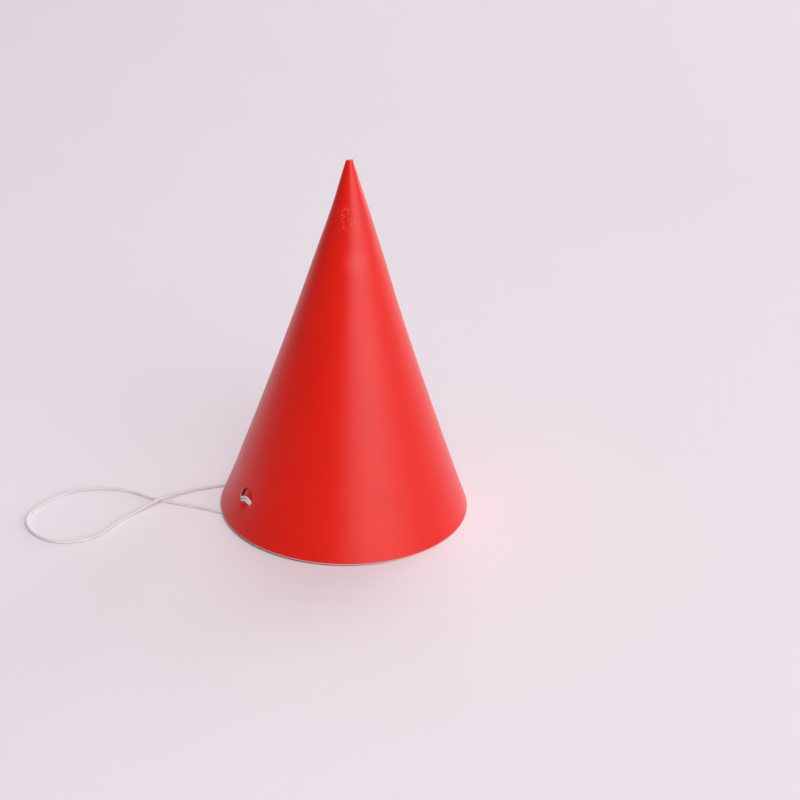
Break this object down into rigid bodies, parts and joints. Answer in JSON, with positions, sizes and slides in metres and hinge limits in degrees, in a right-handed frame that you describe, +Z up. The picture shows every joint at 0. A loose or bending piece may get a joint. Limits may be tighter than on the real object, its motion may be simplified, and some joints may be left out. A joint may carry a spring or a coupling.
{
  "type": "party hat",
  "caption": "Plain cone-shaped party hat of rolled card, open at the rim, with a loose round elastic wound on die-cut tabs near the rim to hold it on a head.",
  "frame": {"origin": "on the table under the middle of the rim", "axes": "+Z up through the tip, -Y towards the viewer, -X towards the loose loop of elastic"},
  "size_m": [0.2112, 0.12, 0.1721],
  "materials": {
    "red_card": "satin coated red card, pale at its cut edges",
    "white_elastic": "white braided round elastic"
  },
  "bodies": {
    "root": {"card_cone": "red_card", "elastic_loop": "white_elastic", "elastic_wrap_left": "white_elastic", "elastic_wrap_right": "white_elastic"}
  },
  "joints": []
}
